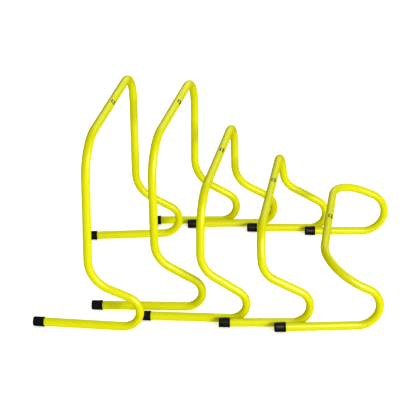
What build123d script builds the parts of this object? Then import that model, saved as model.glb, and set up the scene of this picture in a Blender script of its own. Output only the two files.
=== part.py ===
from build123d import *
import os
from math import acos, asin, atan2, cos, degrees, hypot, radians, sin
from typing import NamedTuple, Optional

# A set of agility hurdles, graded in height and standing nested one behind the other.
# Each hurdle is one length of hollow plastic tube. It runs from a capped foot along the
# floor, round a C-bend and back up to a knee, up to the crossbar, across it, and down the
# other side in the same way. The crossbars lie along Y and the dog runs along +X.
# Millimetres, +Z up. The origin is on the floor, in the middle of the set's footprint.

# ---- Driving dimensions -------------------------------------------------------------

TUBE_R = 9.5          # 3/4 inch tube
TUBE_WALL = 2.0
WIDTH = 440.0         # crossbar, between the axes of the two legs

CAP_R = 10.9          # slip-on end cap
CAP_LENGTH = 25.0
CAP_END = 2.0         # thickness of its closed end
CAP_EDGE = 2.4        # rounding of its closed end
RIM_R = 11.6          # bead around its open end
RIM_LENGTH = 2.4
RIM_EDGE = 0.6
CAP_GAP = 0.05        # between the cap's bore and the tube

MARK_ALONG = 19.0     # printed mark, along the crossbar
MARK_ACROSS = 10.0    # and around it
MARK_STROKE = 2.5
MARK_FOOT = 2.2
MARK_DEPTH = 0.2      # thickness of the ink


class Leg(NamedTuple):
    """One side of a hurdle, in the upright plane of its foot.

    Lengths run along the foot from the upright through the crossbar's end.
    """

    tail: float                     # back to the closed end of the cap
    toe: float                      # turn of the foot, anticlockwise from square, degrees
    reach: float = 64.0             # forward to the start of the C-bend
    bend: float = 40.0              # radius of the C-bend
    flare: float = 0.0              # foot and knee set out from the end of the crossbar
    knee_x: float = 0.0             # knee, forward of the upright
    knee_z: float = 134.0           # its height
    knee_r: Optional[float] = 70.0  # its radius; None where the leg has no knee


class Hurdle(NamedTuple):
    """One hurdle: where it stands, its crossbar and its two legs."""

    name: str
    x: float
    y: float
    turn: float          # degrees about Z
    height: float        # floor to the top of the crossbar
    corner: float        # radius of the two top corners
    near: Leg
    far: Leg
    mark_y: float        # printed mark, from the middle of the crossbar
    mark_turn: float     # and down its front from the top, degrees
    width: float = WIDTH


HURDLES = [
    Hurdle(
        "xl", -247, -54.3, -0.3, height=466, corner=78, mark_y=4, mark_turn=48,
        near=Leg(tail=143, toe=4, reach=62, flare=-2, knee_x=-11, knee_z=124, knee_r=74),
        far=Leg(tail=132, toe=14, reach=62, knee_x=-3, knee_z=138, knee_r=78),
    ),
    Hurdle(
        "l", -121, 43.7, -1.9, height=426, corner=88, mark_y=24, mark_turn=57,
        near=Leg(tail=151, toe=10, reach=67, bend=38, flare=-5, knee_x=-1),
        far=Leg(tail=119, toe=12, reach=61, flare=-1, knee_x=-4, knee_z=136, knee_r=84),
    ),
    Hurdle(
        "m", -15.5, 28.2, -0.5, height=314, corner=76, mark_y=24, mark_turn=27,
        near=Leg(tail=141, toe=7, bend=38, flare=13, knee_x=-1, knee_z=137, knee_r=68),
        far=Leg(tail=123, toe=13, reach=57, bend=42, flare=13, knee_r=75),
    ),
    Hurdle(
        "s", 109, 22.7, 1.2, height=242, corner=70, mark_y=34, mark_turn=15,
        near=Leg(tail=90, toe=9, reach=73, bend=42, flare=10, knee_x=9, knee_z=135, knee_r=57),
        far=Leg(tail=85, toe=9, reach=73, bend=41, flare=10, knee_x=9, knee_z=136, knee_r=57),
    ),
    Hurdle(
        "xs", 245, 26.2, 1.4, height=164, corner=98, mark_y=17, mark_turn=24, width=458,
        near=Leg(tail=101, toe=11, reach=85, bend=49, knee_r=None),
        far=Leg(tail=72, toe=9, reach=72, bend=54, knee_r=None),
    ),
]


# ---- Geometry of one leg ------------------------------------------------------------


def crossbar_end(hurdle, side):
    """The sharp corner where the crossbar's axis meets the upright's; side is -1 near, +1 far."""
    turn = radians(hurdle.turn)
    across = side * hurdle.width / 2
    return Vector(
        hurdle.x - across * sin(turn), hurdle.y + across * cos(turn), hurdle.height - TUBE_R
    )


def leg_plane(hurdle, leg, side):
    """The foot's upright plane: X forward along the foot, Y up, origin on the floor."""
    corner = crossbar_end(hurdle, side)
    turn = radians(hurdle.turn)
    out = side * leg.flare
    heading = radians(hurdle.turn + leg.toe)
    return Plane(
        origin=(corner.X - out * sin(turn), corner.Y + out * cos(turn), 0),
        x_dir=(cos(heading), sin(heading), 0),
        z_dir=(sin(heading), -cos(heading), 0),
    )


def foot_slope(leg):
    """Rise of the foot towards its cap, whose rim is thicker than the tube, in radians."""
    rim_to_bend = leg.tail - CAP_LENGTH + RIM_LENGTH / 2 + leg.reach
    return asin((RIM_R - TUBE_R) / rim_to_bend)


def foot_point(leg, behind):
    """Point of the foot's axis, a distance behind the start of the C-bend."""
    slope = foot_slope(leg)
    return (leg.reach - behind * cos(slope), TUBE_R + behind * sin(slope))


def knee_point(hurdle, leg):
    """Where the rising run is aimed: the knee, or the crossbar's end if there is none."""
    if leg.knee_r is None:
        return (0, hurdle.height - TUBE_R)
    return (leg.knee_x, leg.knee_z)


def c_bend(hurdle, leg):
    """Start, middle and end of the C-bend; the rising run leaves its end at a tangent."""
    lean = foot_slope(leg)
    start = foot_point(leg, 0)
    centre = (start[0] + leg.bend * sin(lean), start[1] + leg.bend * cos(lean))
    knee = knee_point(hurdle, leg)
    ahead, up = knee[0] - centre[0], knee[1] - centre[1]
    first = radians(-90) - lean
    last = atan2(up, ahead) - acos(leg.bend / hypot(ahead, up))
    middle = (first + last) / 2
    return [
        (centre[0] + leg.bend * cos(angle), centre[1] + leg.bend * sin(angle))
        for angle in (first, middle, last)
    ]


def foot_length(leg):
    """Along the foot's axis, from the C-bend to the tube's end inside the cap."""
    return (leg.tail + leg.reach) / cos(foot_slope(leg)) - CAP_END


# ---- Hurdles ------------------------------------------------------------------------

os.makedirs("parts", exist_ok=True)

for hurdle in HURDLES:
    sides = {"near": (hurdle.near, -1), "far": (hurdle.far, 1)}
    foot_ends, foot_tips, bends, tops = {}, {}, {}, {}
    for side, (leg, sign) in sides.items():
        plane = leg_plane(hurdle, leg, sign)
        corner = crossbar_end(hurdle, sign)
        length = foot_length(leg)
        foot_ends[side] = plane.from_local_coords(Vector(*foot_point(leg, length)))
        foot_tips[side] = plane.from_local_coords(Vector(*foot_point(leg, length + CAP_END)))
        bends[side] = [plane.from_local_coords(Vector(*point)) for point in c_bend(hurdle, leg)]
        if leg.knee_r is None:
            tops[side] = ([bends[side][2], corner], [hurdle.corner])
        else:
            knee = plane.from_local_coords(Vector(*knee_point(hurdle, leg)))
            tops[side] = ([bends[side][2], knee, corner], [leg.knee_r, hurdle.corner])

    # The tube: one ring swept from foot to foot.
    top_points = tops["near"][0] + tops["far"][0][::-1]
    top_radii = tops["near"][1] + tops["far"][1][::-1]
    with BuildPart() as tube:
        with BuildLine() as axis:
            Line(foot_ends["near"], bends["near"][0])
            ThreePointArc(*bends["near"])
            FilletPolyline(*top_points, radius=top_radii)
            ThreePointArc(*bends["far"][::-1])
            Line(bends["far"][0], foot_ends["far"])
        with BuildSketch(Plane(axis.line @ 0, z_dir=axis.line % 0)):
            Circle(TUBE_R)
            Circle(TUBE_R - TUBE_WALL, mode=Mode.SUBTRACT)
        sweep()
    tube.part.label = f"tube_{hurdle.name}"
    export_step(tube.part, f"parts/tube_{hurdle.name}.step")

    # Slip-on caps: a closed sleeve with a bead around its mouth, turned about the foot's axis.
    for side in sides:
        heading = (foot_ends[side] - foot_tips[side]).normalized()
        with BuildPart() as cap:
            half = Plane(foot_tips[side], x_dir=heading, z_dir=heading.cross(Vector(0, 0, 1)))
            with BuildSketch(half) as profile:
                Rectangle(CAP_LENGTH, CAP_R, align=Align.MIN)
                fillet(profile.vertices().group_by(Axis.Y)[-1].sort_by(Axis.X)[0], CAP_EDGE)
                with Locations((CAP_LENGTH - RIM_LENGTH, 0)):
                    Rectangle(RIM_LENGTH, RIM_R, align=Align.MIN)
                fillet(profile.vertices().group_by(Axis.Y)[-1], RIM_EDGE)
                with Locations((CAP_END, 0)):
                    Rectangle(CAP_LENGTH, TUBE_R + CAP_GAP, align=Align.MIN, mode=Mode.SUBTRACT)
            revolve(axis=Axis(foot_tips[side], heading))
        cap.part.label = f"cap_{hurdle.name}_{side}"
        export_step(cap.part, f"parts/cap_{hurdle.name}_{side}.step")

    # Printed mark: a plain pictogram, a frame on its foot rail, wrapped on the crossbar's front.
    near_end, far_end = crossbar_end(hurdle, -1), crossbar_end(hurdle, 1)
    along = (far_end - near_end).normalized()
    centre = (near_end + far_end) / 2 + along * hurdle.mark_y
    outward = Vector(0, 0, 1).rotate(Axis((0, 0, 0), along), hurdle.mark_turn)
    with BuildPart() as mark:
        with BuildSketch(Plane(centre, x_dir=along, z_dir=outward)):
            frame = MARK_ALONG - 2 * MARK_FOOT
            Rectangle(frame, MARK_ACROSS)
            inside = (frame - 2 * MARK_STROKE, MARK_ACROSS - 2 * MARK_STROKE)
            Rectangle(*inside, mode=Mode.SUBTRACT)
            with Locations((0, (MARK_STROKE - MARK_ACROSS) / 2)):
                Rectangle(MARK_ALONG, MARK_STROKE)
        extrude(amount=TUBE_R + 2 * MARK_DEPTH)
        with BuildSketch(Plane(centre, x_dir=outward, z_dir=along)):
            Circle(TUBE_R + MARK_DEPTH)
            Circle(TUBE_R, mode=Mode.SUBTRACT)
        extrude(amount=MARK_ALONG, both=True, mode=Mode.INTERSECT)
    mark.part.label = f"mark_{hurdle.name}"
    export_step(mark.part, f"parts/mark_{hurdle.name}.step")
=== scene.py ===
"""Agility hurdle set: its surfaces, and the floor, light and camera around it."""
from math import acos, asin, atan2, cos, hypot, pi, radians, sin, tan, tau
from typing import NamedTuple, Optional

import bpy
import numpy as np
from mathutils import Matrix, Quaternion, Vector


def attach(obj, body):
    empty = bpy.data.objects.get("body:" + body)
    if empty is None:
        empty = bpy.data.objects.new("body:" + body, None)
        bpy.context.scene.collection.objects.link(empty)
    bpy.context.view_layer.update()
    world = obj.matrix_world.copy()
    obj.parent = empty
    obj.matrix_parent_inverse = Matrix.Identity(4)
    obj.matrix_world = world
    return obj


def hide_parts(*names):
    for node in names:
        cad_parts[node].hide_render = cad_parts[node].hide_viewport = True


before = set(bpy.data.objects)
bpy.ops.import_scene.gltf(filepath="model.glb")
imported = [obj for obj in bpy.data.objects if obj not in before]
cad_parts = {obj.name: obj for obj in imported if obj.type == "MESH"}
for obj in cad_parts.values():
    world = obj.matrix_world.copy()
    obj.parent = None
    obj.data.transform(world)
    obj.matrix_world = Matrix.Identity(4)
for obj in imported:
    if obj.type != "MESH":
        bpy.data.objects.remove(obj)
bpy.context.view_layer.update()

MM = 0.001

# ---- Camera --------------------------------------------------------------------------

AIM = Vector((-0.0315, -0.0021, 0.1802))     # point in the middle of the view
DISTANCE = 3.157
AZIMUTH = radians(10.36)                     # camera to the right of square, looking left
ELEVATION = radians(27.25)
ROLL = radians(0.84)
LENS = 115.1                                 # millimetres, on a 36 mm sensor

forward = Vector((
    -sin(AZIMUTH) * cos(ELEVATION), cos(AZIMUTH) * cos(ELEVATION), -sin(ELEVATION)
))
right = Vector((cos(AZIMUTH), sin(AZIMUTH), 0))
level = Matrix((right, right.cross(forward), -forward)).transposed()
camera_data = bpy.data.cameras.new("camera")
camera_data.lens = LENS
camera_data.sensor_width = 36
camera_data.clip_end = 50
camera = bpy.data.objects.new("camera", camera_data)
camera.matrix_world = (
    Matrix.Translation(AIM - forward * DISTANCE)
    @ (level @ Matrix.Rotation(-ROLL, 3, "Z")).to_4x4()
)
bpy.context.collection.objects.link(camera)
bpy.context.scene.camera = camera

# ---- The hurdles' dimensions, in millimetres as the CAD model states them ------------

TUBE_R = 9.5
CAP_R = 10.9
CAP_LENGTH = 25.0
CAP_END = 2.0
CAP_EDGE = 2.4
RIM_R = 11.6
RIM_LENGTH = 2.4


class Leg(NamedTuple):
    """One side of a hurdle, in the upright plane of its foot."""

    tail: float
    toe: float
    reach: float = 64.0
    bend: float = 40.0
    flare: float = 0.0
    knee_x: float = 0.0
    knee_z: float = 134.0
    knee_r: Optional[float] = 70.0


class Hurdle(NamedTuple):
    """One hurdle: where it stands, its crossbar and its two legs."""

    name: str
    x: float
    y: float
    turn: float
    height: float
    corner: float
    near: Leg
    far: Leg
    width: float = 440.0


HURDLES = [
    Hurdle(
        "xl", -247, -54.3, -0.3, height=466, corner=78,
        near=Leg(tail=143, toe=4, reach=62, flare=-2, knee_x=-11, knee_z=124, knee_r=74),
        far=Leg(tail=132, toe=14, reach=62, knee_x=-3, knee_z=138, knee_r=78),
    ),
    Hurdle(
        "l", -121, 43.7, -1.9, height=426, corner=88,
        near=Leg(tail=151, toe=10, reach=67, bend=38, flare=-5, knee_x=-1),
        far=Leg(tail=119, toe=12, reach=61, flare=-1, knee_x=-4, knee_z=136, knee_r=84),
    ),
    Hurdle(
        "m", -15.5, 28.2, -0.5, height=314, corner=76,
        near=Leg(tail=141, toe=7, bend=38, flare=13, knee_x=-1, knee_z=137, knee_r=68),
        far=Leg(tail=123, toe=13, reach=57, bend=42, flare=13, knee_r=75),
    ),
    Hurdle(
        "s", 109, 22.7, 1.2, height=242, corner=70,
        near=Leg(tail=90, toe=9, reach=73, bend=42, flare=10, knee_x=9, knee_z=135, knee_r=57),
        far=Leg(tail=85, toe=9, reach=73, bend=41, flare=10, knee_x=9, knee_z=136, knee_r=57),
    ),
    Hurdle(
        "xs", 245, 26.2, 1.4, height=164, corner=98, width=458,
        near=Leg(tail=101, toe=11, reach=85, bend=49, knee_r=None),
        far=Leg(tail=72, toe=9, reach=72, bend=54, knee_r=None),
    ),
]

# ---- Path of a tube's axis -----------------------------------------------------------


class LegPath(NamedTuple):
    """Points of one leg's axis, from the tip of its cap up to the crossbar's end."""

    tip: Vector
    bend: list        # start, centre and end of the C-bend
    knee: Optional[Vector]
    corner: Vector


def leg_path(hurdle, leg, side):
    """Works out a leg's axis; side is -1 near the camera and +1 far from it."""
    turn = radians(hurdle.turn)
    across = side * hurdle.width / 2
    top = hurdle.height - TUBE_R
    corner = Vector((hurdle.x - across * sin(turn), hurdle.y + across * cos(turn), top))
    heading = radians(hurdle.turn + leg.toe)
    out = side * leg.flare
    origin = Vector((corner.x - out * sin(turn), corner.y + out * cos(turn), 0))
    ahead = Vector((cos(heading), sin(heading), 0))

    def place(x, z):
        return origin + ahead * x + Vector((0, 0, z))

    slope = asin((RIM_R - TUBE_R) / (leg.tail - CAP_LENGTH + RIM_LENGTH / 2 + leg.reach))
    start = (leg.reach, TUBE_R)
    centre = (leg.reach + leg.bend * sin(slope), TUBE_R + leg.bend * cos(slope))
    knee = (0, top) if leg.knee_r is None else (leg.knee_x, leg.knee_z)
    to_knee = (knee[0] - centre[0], knee[1] - centre[1])
    last = atan2(to_knee[1], to_knee[0]) - acos(leg.bend / hypot(*to_knee))
    end = (centre[0] + leg.bend * cos(last), centre[1] + leg.bend * sin(last))
    length = (leg.tail + leg.reach) / cos(slope)
    tip = (leg.reach - length * cos(slope), TUBE_R + length * sin(slope))
    return LegPath(
        tip=place(*tip),
        bend=[place(*start), place(*centre), place(*end)],
        knee=None if leg.knee_r is None else place(*knee),
        corner=corner,
    )


def sweep_arc(centre, start, axis, angle, step):
    """Points round an arc, without its start."""
    count = max(2, round((start - centre).length * angle / step))
    return [
        centre + Quaternion(axis, angle * i / count) @ (start - centre)
        for i in range(1, count + 1)
    ]


def sweep_corner(before, point, after, radius, step):
    """Points round a rounded corner of a polyline, from where the arc begins."""
    back = (before - point).normalized()
    on = (after - point).normalized()
    angle = pi - back.angle(on)
    start = point + back * radius * tan(angle / 2)
    centre = point + (back + on).normalized() * radius / cos(angle / 2)
    return [start] + sweep_arc(centre, start, (-back).cross(on).normalized(), angle, step)


def tube_axis(hurdle, step):
    """The tube's axis from foot to foot, as points at an even spacing."""
    near = leg_path(hurdle, hurdle.near, -1)
    far = leg_path(hurdle, hurdle.far, 1)
    halves = []
    for path in (near, far):
        start, centre, end = path.bend
        foot = start + (path.tip - start).normalized() * ((path.tip - start).length - CAP_END)
        to_start = start - centre
        to_end = end - centre
        axis = (start - foot).cross(centre - start).normalized()
        angle = to_start.angle(to_end)
        if to_start.cross(to_end).dot(axis) < 0:
            angle = tau - angle
        halves.append([foot, start] + sweep_arc(centre, start, axis, angle, step))
    corners = [(near.knee, hurdle.near.knee_r), (near.corner, hurdle.corner)]
    corners += [(far.corner, hurdle.corner), (far.knee, hurdle.far.knee_r)]
    corners = [(point, radius) for point, radius in corners if point is not None]
    line = [halves[0][-1]] + [point for point, _ in corners] + [halves[1][-1]]
    points = list(halves[0])
    for i, (point, radius) in enumerate(corners):
        points += sweep_corner(line[i], point, line[i + 2], radius, step)
    points += halves[1][::-1]
    points = np.array(points)
    along = np.r_[0, np.cumsum(np.linalg.norm(np.diff(points, axis=0), axis=1))]
    even = np.linspace(0, along[-1], round(along[-1] / step) + 1)
    return np.stack([np.interp(even, along, points[:, k]) for k in range(3)], 1), even


# ---- Meshes --------------------------------------------------------------------------


def unit(vectors):
    """Each row scaled to length 1."""
    return vectors / np.maximum(np.linalg.norm(vectors, axis=-1, keepdims=True), 1e-12)


def smooth(values, width):
    """Moving average down the rows, with the ends held."""
    padded = np.concatenate([values[:1].repeat(width, 0), values, values[-1:].repeat(width, 0)])
    kernel = np.hanning(2 * width + 3)[1:-1]
    kernel /= kernel.sum()
    return np.stack([np.convolve(column, kernel, "valid") for column in padded.T], 1)


def ring_mesh(name, rings, material, uv=None, attributes=None):
    """A closed mesh of quads through rings, an array of ring, point and coordinate.

    Seen along the rings' order, the points go clockwise, so that the faces look outwards.
    """
    count, sides, _ = rings.shape
    mesh = bpy.data.meshes.new(name)
    index = np.arange(count * sides).reshape(count, sides)
    a, b = index[:-1], index[1:]
    faces = np.stack([a, np.roll(a, -1, 1), np.roll(b, -1, 1), b], -1).reshape(-1, 4)
    caps = [list(index[0][::-1]), list(index[-1])]
    mesh.from_pydata((rings.reshape(-1, 3) * MM).tolist(), [], faces.tolist() + caps)
    mesh.shade_smooth()
    if uv is not None:
        layer = mesh.uv_layers.new(name="tube").uv
        around, along = uv
        u = np.append(around, 1.0)
        corner = np.zeros((count - 1, sides, 4, 2))
        corner[..., 0, 0] = corner[..., 3, 0] = u[:-1]
        corner[..., 1, 0] = corner[..., 2, 0] = u[1:]
        corner[..., 0, 1] = corner[..., 1, 1] = along[:-1, None]
        corner[..., 2, 1] = corner[..., 3, 1] = along[1:, None]
        flat = np.concatenate([corner.reshape(-1, 2), np.zeros((2 * sides, 2))])
        layer.foreach_set("vector", flat.astype(np.float32).ravel())
    for key, values in (attributes or {}).items():
        mesh.attributes.new(key, "FLOAT", "POINT").data.foreach_set(
            "value", values.astype(np.float32).ravel()
        )
    mesh.materials.append(material)
    piece = bpy.data.objects.new(name, mesh)
    bpy.context.collection.objects.link(piece)
    return piece


TUBE_STEP = 3.0        # spacing of the tube's rings
TUBE_SIDES = 40
FLATTEN = 0.035        # how much a tight bend flattens the tube
BULGE = 0.015          # and widens it
TIGHT = 45.0           # radius of a fully flattened bend
RIPPLE = 0.02          # unevenness of the hand-bent tube


def tube_mesh(hurdle, material):
    """The bent tube, a little flattened in its bends."""
    points, along = tube_axis(hurdle, TUBE_STEP)
    tangents = unit(np.gradient(points, axis=0))
    curve = np.gradient(tangents, along, axis=0)
    curve = smooth(curve, 3)
    strength = np.clip(np.linalg.norm(curve, axis=1) * TIGHT, 0, 1)
    inward = unit(curve)
    side = unit(np.cross(tangents, inward))
    normal = Vector((0, 0, 1))
    frames = []
    for tangent in tangents:
        axis = Vector(tangent)
        normal = (normal - axis * normal.dot(axis)).normalized()
        frames.append((normal.copy(), axis.cross(normal)))
    normals = np.array([[list(n), list(b)] for n, b in frames])
    around = np.arange(TUBE_SIDES) / TUBE_SIDES
    offsets = (
        np.cos(around * tau)[None, :, None] * normals[:, None, 0]
        + np.sin(around * tau)[None, :, None] * normals[:, None, 1]
    )
    to_inside = (offsets * inward[:, None]).sum(-1)
    to_side = (offsets * side[:, None]).sum(-1)
    squeeze = strength[:, None]
    phase = along[:, None] / 31.0 + HURDLES.index(hurdle) * 2.0
    ripple = RIPPLE * (np.sin(phase) * np.cos(around * tau * 2 + phase / 3))
    shape = offsets * (TUBE_R + ripple)[..., None]
    shape -= inward[:, None] * (to_inside * squeeze * FLATTEN * TUBE_R)[..., None]
    shape += side[:, None] * (to_side * squeeze * BULGE * TUBE_R)[..., None]
    return ring_mesh(
        f"tube_{hurdle.name}_skin", points[:, None] + shape, material,
        uv=(around, along * MM),
        attributes={"bend": squeeze.repeat(TUBE_SIDES, 1), "outside": -to_inside * squeeze},
    )


CAP_SIDES = 96
SEAM = 0.09            # height of the two mould lines
GATE_R = 0.9           # moulding gate in the middle of the closed end
GATE_DEPTH = 0.3
GROOVE_R = 2.1         # shallow groove round the gate
GROOVE_DEPTH = 0.34
SHOULDER = 0.15        # how much narrower the sleeve starts than it ends
EDGE_STEPS = 8
BEAD_EDGE = 0.12       # how much the bead's edges are broken
MOUTH_GAP = 0.08       # between the sleeve's mouth and the tube
MOUTH_DEPTH = 3.0      # how far the gap is followed in


def cap_mesh(name, tip, foot, material):
    """A slip-on cap about the foot's axis: gate mark, rounded end, sleeve and beaded mouth.

    The profile is a list of (distance from the tip, radius), from the gate to inside the mouth.
    """
    profile = [(GATE_DEPTH, 0.05), (GATE_DEPTH, GATE_R), (0.05, GATE_R + 0.25)]
    profile += [(GROOVE_DEPTH, GROOVE_R - 0.6), (GROOVE_DEPTH, GROOVE_R), (0.0, GROOVE_R + 0.5)]
    profile += [(0.0, 5.0), (0.02, CAP_R - CAP_EDGE - 0.2)]
    for i in range(1, EDGE_STEPS + 1):
        angle = pi / 2 * i / EDGE_STEPS
        x = CAP_EDGE * (1 - cos(angle))
        profile.append((x, CAP_R - SHOULDER - CAP_EDGE * (1 - sin(angle))))
    profile += [(6, CAP_R - 0.1), (10, CAP_R - 0.05), (14, CAP_R), (18, CAP_R)]
    bead = CAP_LENGTH - RIM_LENGTH
    profile += [(bead - 0.7, CAP_R + 0.02), (bead - 0.25, CAP_R + 0.12), (bead, CAP_R + 0.38)]
    profile += [(bead + 0.3, RIM_R - BEAD_EDGE), (bead + 0.75, RIM_R)]
    profile += [(CAP_LENGTH - 0.75, RIM_R), (CAP_LENGTH - 0.25, RIM_R - BEAD_EDGE)]
    profile += [(CAP_LENGTH, RIM_R - 0.5), (CAP_LENGTH, 10.2), (CAP_LENGTH - 0.2, 9.75)]
    bore = TUBE_R + MOUTH_GAP
    profile += [(CAP_LENGTH - 0.6, bore), (CAP_LENGTH - MOUTH_DEPTH, bore)]
    axis = (foot - tip).normalized()
    up = (Vector((0, 0, 1)) - axis * axis.z).normalized()
    across = axis.cross(up)
    around = np.arange(CAP_SIDES) * tau / CAP_SIDES
    # The mould lines run along the sleeve's two sides.
    seam = np.isclose(np.abs(np.sin(around)), 1.0, atol=1e-6)
    rings = []
    for x, r in profile:
        radius = np.full(CAP_SIDES, r)
        if CAP_EDGE < x < bead and r > CAP_R - 1:
            radius += SEAM * seam
        ring = np.array(tip)[None] + x * np.array(axis)[None]
        ring = ring + (radius * np.cos(around))[:, None] * np.array(up)[None]
        ring = ring + (radius * np.sin(around))[:, None] * np.array(across)[None]
        rings.append(ring)
    return ring_mesh(name, np.array(rings), material)


# ---- Materials -----------------------------------------------------------------------


class Nodes:
    """Builds one material's node tree."""

    def __init__(self, name):
        self.material = bpy.data.materials.new(name)
        self.material.use_nodes = True
        self.tree = self.material.node_tree
        self.shader = self.tree.nodes["Principled BSDF"]

    def add(self, kind, inputs=None, **settings):
        """A new node; inputs are values or other nodes' sockets."""
        node = self.tree.nodes.new(kind)
        for key, value in settings.items():
            setattr(node, key, value)
        for key, value in (inputs or {}).items():
            self.set(node.inputs[key], value)
        return node

    def set(self, socket, value):
        """Links a socket to another, or sets its value."""
        if isinstance(value, bpy.types.NodeSocket):
            self.tree.links.new(value, socket)
        else:
            socket.default_value = value

    def math(self, operation, *values, clamp=False):
        """A Math node's output."""
        node = self.add("ShaderNodeMath", operation=operation, use_clamp=clamp)
        for socket, value in zip(node.inputs, values):
            self.set(socket, value)
        return node.outputs[0]

    def stretch(self, vector, scale):
        """A vector multiplied by another."""
        node = self.add("ShaderNodeVectorMath", operation="MULTIPLY")
        self.set(node.inputs[0], vector)
        self.set(node.inputs[1], scale)
        return node.outputs[0]

    def noise(self, vector, scale, detail=2.0, roughness=0.5):
        """Noise, about 0.5."""
        return self.add("ShaderNodeTexNoise", {
            "Vector": vector, "Scale": scale, "Detail": detail, "Roughness": roughness,
        }).outputs["Fac"]

    def span(self, value, low, high, to_low=0.0, to_high=1.0):
        """A value's range from low to high, spread smoothly over another."""
        return self.add("ShaderNodeMapRange", {
            "Value": value, "From Min": low, "From Max": high,
            "To Min": to_low, "To Max": to_high,
        }, interpolation_type="SMOOTHSTEP").outputs["Result"]

    def mix(self, factor, first, second):
        """One colour or the other."""
        node = self.add("ShaderNodeMix", data_type="RGBA")
        self.set(node.inputs["Factor"], factor)
        self.set(node.inputs[6], first)
        self.set(node.inputs[7], second)
        return node.outputs[2]

    def bump(self, height, distance, strength=1.0, under=None):
        """A bump's normal, over another's."""
        inputs = {"Height": height, "Distance": distance, "Strength": strength}
        if under is not None:
            inputs["Normal"] = under
        return self.add("ShaderNodeBump", inputs).outputs["Normal"]

    def finish(self, **inputs):
        """Sets the shader's inputs, whose names have underscores for spaces."""
        for key, value in inputs.items():
            self.set(self.shader.inputs[key.replace("_", " ")], value)
        return self.material


def tube_plastic():
    """Yellow extruded plastic: satin, faintly lined along its length, rubbed underneath."""
    n = Nodes("tube_plastic")
    place = n.add("ShaderNodeTexCoord").outputs["Object"]
    uv = n.add("ShaderNodeUVMap", uv_map="tube").outputs["UV"]
    bend = n.add("ShaderNodeAttribute", attribute_name="bend").outputs["Fac"]
    outside = n.add("ShaderNodeAttribute", attribute_name="outside").outputs["Fac"]
    height = n.add("ShaderNodeSeparateXYZ", {"Vector": place}).outputs["Z"]

    # Colour: slow drift of the dye, deeper where the tube was heated to bend it,
    # whitened where its outside stretched.
    drift = n.span(n.noise(place, 6.0, 1.0), 0.3, 0.7)
    colour = n.mix(drift, (0.603, 0.612, 0.0, 1), (0.614, 0.622, 0.0, 1))
    heated = n.math("MULTIPLY", bend, n.span(n.noise(place, 40.0), 0.3, 0.7, 0.3, 0.8))
    colour = n.mix(heated, colour, (0.598, 0.586, 0.0, 1))
    stretched = n.math("MULTIPLY", n.span(outside, 0.4, 1.0), n.span(n.noise(uv, 260.0), 0.4, 0.8))
    colour = n.mix(n.math("MULTIPLY", stretched, 0.25), colour, (0.72, 0.73, 0.01, 1))

    # Rubbing: long scuffs under the feet and round the C-bends, fine marks from handling.
    floor_wear = n.span(height, 0.003, 0.0003)
    streaks = n.noise(n.stretch(uv, (70.0, 22.0, 1.0)), 1.0, 4.0, 0.7)
    scuffs = n.math("MULTIPLY", floor_wear, n.span(streaks, 0.48, 0.62))
    colour = n.mix(n.math("MULTIPLY", scuffs, 0.55), colour, (0.36, 0.34, 0.16, 1))
    hairs = n.noise(n.stretch(uv, (14.0, 520.0, 1.0)), 1.0, 3.0, 0.6)
    patches = n.span(n.noise(place, 16.0, 2.0), 0.52, 0.62)
    hairs = n.math("MULTIPLY", n.span(hairs, 0.62, 0.70), patches)
    colour = n.mix(n.math("MULTIPLY", hairs, 0.05), colour, (0.72, 0.73, 0.0, 1))

    # Gloss: uneven, duller in the rubbed places and shinier in the bends.
    gloss = n.span(n.noise(place, 60.0, 3.0), 0.3, 0.7, 0.42, 0.47)
    gloss = n.math("SUBTRACT", gloss, n.math("MULTIPLY", bend, 0.04))
    gloss = n.math("ADD", gloss, n.math("MULTIPLY", scuffs, 0.25))
    gloss = n.math("ADD", gloss, n.math("MULTIPLY", hairs, 0.12), clamp=True)

    lines = n.noise(n.stretch(uv, (46.0, 1.5, 1.0)), 1.0, 3.0, 0.6)
    peel = n.noise(place, 420.0, 2.0)
    normal = n.bump(lines, 0.000003)
    normal = n.bump(peel, 0.00001, under=normal)
    normal = n.bump(scuffs, -0.00006, under=normal)
    return n.finish(
        Base_Color=colour, Roughness=gloss, Normal=normal, IOR=1.5, Specular_IOR_Level=0.2
    )


def cap_vinyl():
    """Black dipped vinyl: semi-matt, finely grained, greyed where it rubs the floor."""
    n = Nodes("cap_vinyl")
    place = n.add("ShaderNodeTexCoord").outputs["Object"]
    height = n.add("ShaderNodeSeparateXYZ", {"Vector": place}).outputs["Z"]
    colour = n.mix(
        n.span(n.noise(place, 90.0, 3.0), 0.35, 0.65),
        (0.013, 0.013, 0.0145, 1), (0.018, 0.018, 0.0195, 1),
    )
    low = n.span(height, 0.006, 0.0)
    rub = n.math("MULTIPLY", low, n.span(n.noise(place, 500.0, 4.0), 0.45, 0.6))
    colour = n.mix(n.math("MULTIPLY", rub, 0.5), colour, (0.09, 0.085, 0.075, 1))
    dust = n.span(n.noise(place, 1500.0, 2.0), 0.66, 0.74)
    colour = n.mix(n.math("MULTIPLY", dust, 0.35), colour, (0.12, 0.12, 0.11, 1))
    gloss = n.span(n.noise(place, 240.0, 3.0), 0.3, 0.7, 0.38, 0.50)
    gloss = n.math("ADD", gloss, n.math("MULTIPLY", rub, 0.25), clamp=True)
    normal = n.bump(n.noise(place, 1300.0, 3.0, 0.6), 0.00004)
    return n.finish(
        Base_Color=colour, Roughness=gloss, Normal=normal, IOR=1.5, Specular_IOR_Level=0.16
    )


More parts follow.
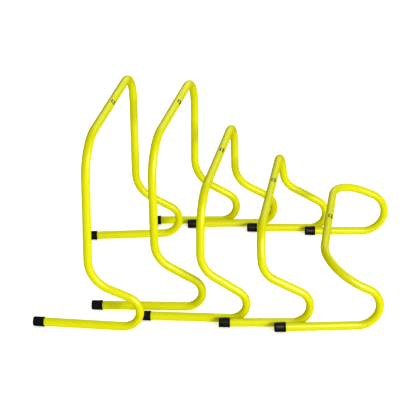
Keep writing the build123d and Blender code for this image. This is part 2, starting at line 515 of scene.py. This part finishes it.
def mark_ink():
    """Dark printed ink, thin and a little broken, with the yellow showing through."""
    n = Nodes("mark_ink")
    place = n.add("ShaderNodeTexCoord").outputs["Object"]
    broken = n.span(n.noise(place, 900.0, 3.0, 0.7), 0.56, 0.70)
    thin = n.span(n.noise(place, 300.0, 2.0), 0.3, 0.7)
    ink = n.mix(thin, (0.022, 0.024, 0.020, 1), (0.05, 0.055, 0.02, 1))
    colour = n.mix(broken, ink, (0.45, 0.45, 0.02, 1))
    normal = n.bump(broken, -0.00005)
    return n.finish(Base_Color=colour, Roughness=0.5, Normal=normal, Specular_IOR_Level=0.4)


def floor_paper():
    """Plain white studio paper."""
    n = Nodes("floor_paper")
    place = n.add("ShaderNodeTexCoord").outputs["Object"]
    grain = n.noise(place, 900.0, 3.0)
    colour = n.mix(n.span(grain, 0.3, 0.7), (0.80, 0.80, 0.80, 1), (0.81, 0.81, 0.81, 1))
    return n.finish(
        Base_Color=colour, Roughness=0.9, Normal=n.bump(grain, 0.00002), Specular_IOR_Level=0.0,
        Emission_Color=(1, 1, 1, 1), Emission_Strength=0.34,
    )


# ---- Pieces --------------------------------------------------------------------------

plastic = tube_plastic()
vinyl = cap_vinyl()
ink = mark_ink()

for hurdle in HURDLES:
    body = f"hurdle_{hurdle.name}"
    tube = tube_mesh(hurdle, plastic)
    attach(tube, body)
    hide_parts(f"tube_{hurdle.name}")
    for side, leg, sign in (("near", hurdle.near, -1), ("far", hurdle.far, 1)):
        path = leg_path(hurdle, leg, sign)
        cap = cap_mesh(f"cap_{hurdle.name}_{side}_skin", path.tip, path.bend[0], vinyl)
        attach(cap, body)
        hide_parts(f"cap_{hurdle.name}_{side}")
    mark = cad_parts[f"mark_{hurdle.name}"]
    mark.data.materials.clear()
    mark.data.materials.append(ink)

# ---- Floor and light -----------------------------------------------------------------

bpy.ops.mesh.primitive_plane_add(size=40, location=(0, 0, 0))
floor = bpy.context.object
floor.name = "floor"
floor.visible_glossy = False
floor.data.materials.append(floor_paper())

WHITE = (1, 1, 1)
WARM = (1, 0.93, 0.84)
COOL = (0.96, 1, 0.98)


def put_light(light, place, aim):
    """Hangs a light at a place, turned to a point and out of the camera's sight."""
    lamp = bpy.data.objects.new(light.name, light)
    lamp.visible_camera = False
    lamp.location = place
    lamp.rotation_euler = (Vector(aim) - Vector(place)).to_track_quat("-Z", "Y").to_euler()
    bpy.context.collection.objects.link(lamp)
    return lamp


def far_light(name, place, strength, spread, colour):
    """A light even all over the floor, of a strength and a spread in degrees, kept from the gloss."""
    light = bpy.data.lights.new(name, "SUN")
    light.energy = strength
    light.angle = radians(spread)
    light.color = colour
    put_light(light, place, (0, 0, 0)).visible_glossy = False


def gloss_box(name, place, aim, size, power, colour):
    """A softbox that shows only in the gloss, so that the colour beside it stays clean."""
    light = bpy.data.lights.new(name, "AREA")
    light.shape = "RECTANGLE"
    light.size, light.size_y = size
    light.energy = power
    light.color = colour
    put_light(light, place, aim).visible_diffuse = False


far_light("overhead", (0, 0.3, 2.8), 1.78, 150, COOL)
far_light("key", (3.6, -3.2, 1.8), 1.62, 20, WARM)
gloss_box("side_gloss", (0.85, -0.85, 0.65), (0.1, -0.2, 0.2), (0.6, 0.6), 56, WARM)
gloss_box("back_gloss", (0.4, 2.6, 1.7), (0, 0, 0.3), (3.0, 1.6), 36, WHITE)

# The studio's white surroundings are only seen, and light nothing.
world = bpy.data.worlds.new("studio")
world.use_nodes = True
background = world.node_tree.nodes["Background"]
background.inputs["Color"].default_value = (1, 1, 1, 1)
background.inputs["Strength"].default_value = 1.0
world.cycles_visibility.diffuse = False
world.cycles_visibility.glossy = False
bpy.context.scene.world = world
bpy.context.scene.view_settings.view_transform = "Standard"
bpy.context.scene.view_settings.look = "High Contrast"
